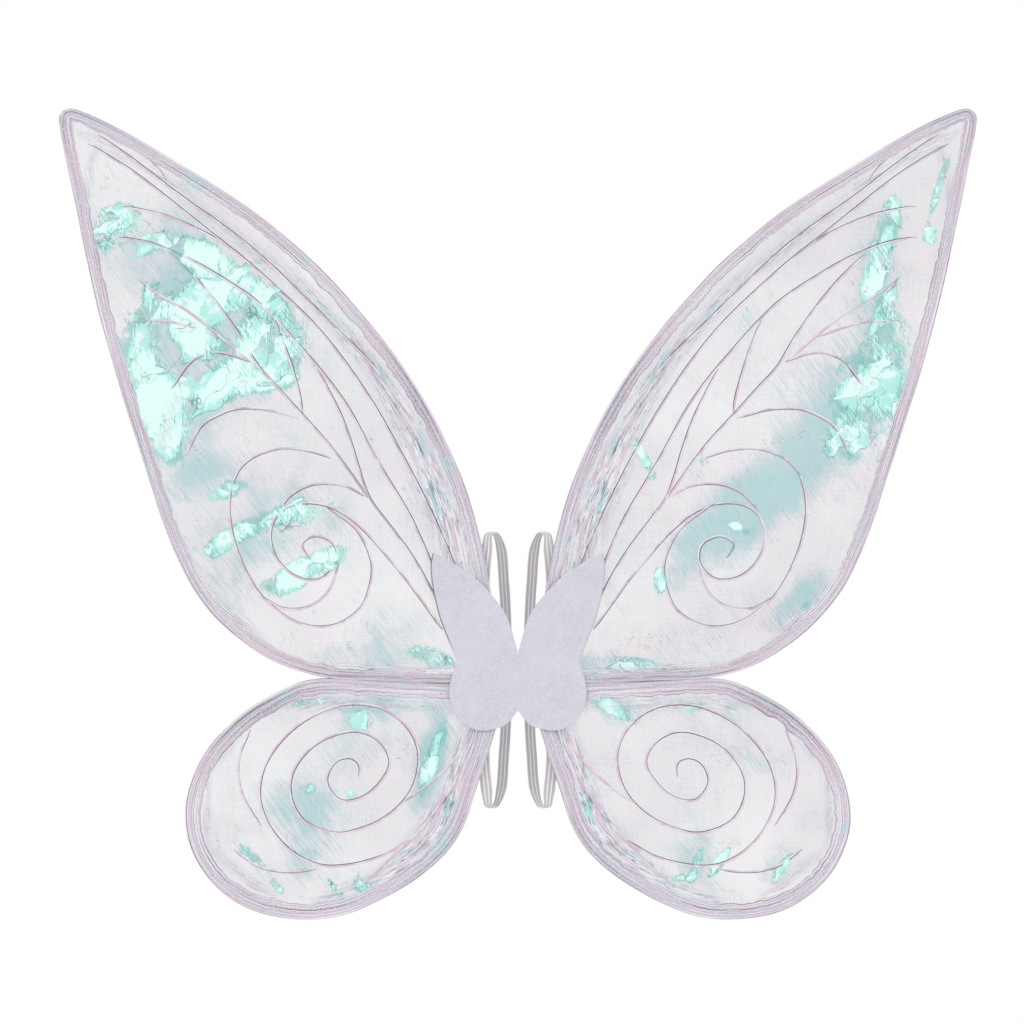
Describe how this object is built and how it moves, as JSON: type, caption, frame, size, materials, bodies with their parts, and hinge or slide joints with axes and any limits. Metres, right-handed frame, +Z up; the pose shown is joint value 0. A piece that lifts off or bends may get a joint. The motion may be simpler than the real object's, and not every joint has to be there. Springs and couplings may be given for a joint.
{
  "type": "fairy wings",
  "caption": "Pair-sided fairy wings for fancy dress: clear iridescent film wings on wire frames, felt butterfly at the middle, elastic arm loops.",
  "frame": {"origin": "middle of the inner felt's face that rests on the wearer's back, on the mirror plane", "axes": "+X to the wearer's right along the span, +Y into the wearer's back, +Z up"},
  "size_m": [0.6226, 0.0431, 0.5495],
  "materials": {
    "steel_wire": "bright drawn wire",
    "crimp": "plain squeezed tube",
    "film": "clear iridescent film with a fine crosshatch, mint and pink flashes",
    "hem_film": "folded and gathered iridescent film cloth, pale lilac with fine glitter",
    "thread": "pale lilac thread",
    "rib_ink": "raised pearl-pink lines",
    "felt": "matte pale lavender felt",
    "tape": "woven cotton tape",
    "elastic": "ribbed flat elastic, warm grey"
  },
  "bodies": {
    "centre": {"inner_felt_middle": "felt", "outer_felt_middle": "felt", "fold_tape": "tape"},
    "left_wings": {"upper_left_wire_frame": "steel_wire", "upper_left_crimp_sleeve": "crimp", "upper_left_film": "film", "upper_left_hem": "hem_film", "upper_left_hem_thread": "thread", "upper_left_ribs": "rib_ink", "upper_left_swirls": "rib_ink", "lower_left_wire_frame": "steel_wire", "lower_left_crimp_sleeve": "crimp", "lower_left_film": "film", "lower_left_hem": "hem_film", "lower_left_hem_thread": "thread", "lower_left_ribs": "rib_ink", "lower_left_swirls": "rib_ink", "inner_felt_left": "felt", "outer_felt_left": "felt", "left_strap_sewn_leg": "elastic", "left_strap_tacks": "thread"},
    "left_strap": {"left_strap_loop": "elastic"},
    "right_wings": {"upper_right_wire_frame": "steel_wire", "upper_right_crimp_sleeve": "crimp", "upper_right_film": "film", "upper_right_hem": "hem_film", "upper_right_hem_thread": "thread", "upper_right_ribs": "rib_ink", "upper_right_swirls": "rib_ink", "lower_right_wire_frame": "steel_wire", "lower_right_crimp_sleeve": "crimp", "lower_right_film": "film", "lower_right_hem": "hem_film", "lower_right_hem_thread": "thread", "lower_right_ribs": "rib_ink", "lower_right_swirls": "rib_ink", "inner_felt_right": "felt", "outer_felt_right": "felt", "right_strap_sewn_leg": "elastic", "right_strap_tacks": "thread"},
    "right_strap": {"right_strap_loop": "elastic"}
  },
  "joints": [
    {"name": "left_fold", "type": "hinge", "parent": "centre", "child": "left_wings", "pos_m": [-0.006, -0.0058, 0], "axis": [0, 0, 1], "range_deg": [0, 86]},
    {"name": "left_strap_swing", "type": "hinge", "parent": "left_wings", "child": "left_strap", "pos_m": [-0.023, 0.0005, 0], "axis": [0, 0, 1], "range_deg": [-4, 52]},
    {"name": "right_fold", "type": "hinge", "parent": "centre", "child": "right_wings", "pos_m": [0.006, -0.0058, 0], "axis": [0, 0, -1], "range_deg": [0, 86]},
    {"name": "right_strap_swing", "type": "hinge", "parent": "right_wings", "child": "right_strap", "pos_m": [0.023, 0.0005, 0], "axis": [0, 0, -1], "range_deg": [-4, 52]}
  ]
}
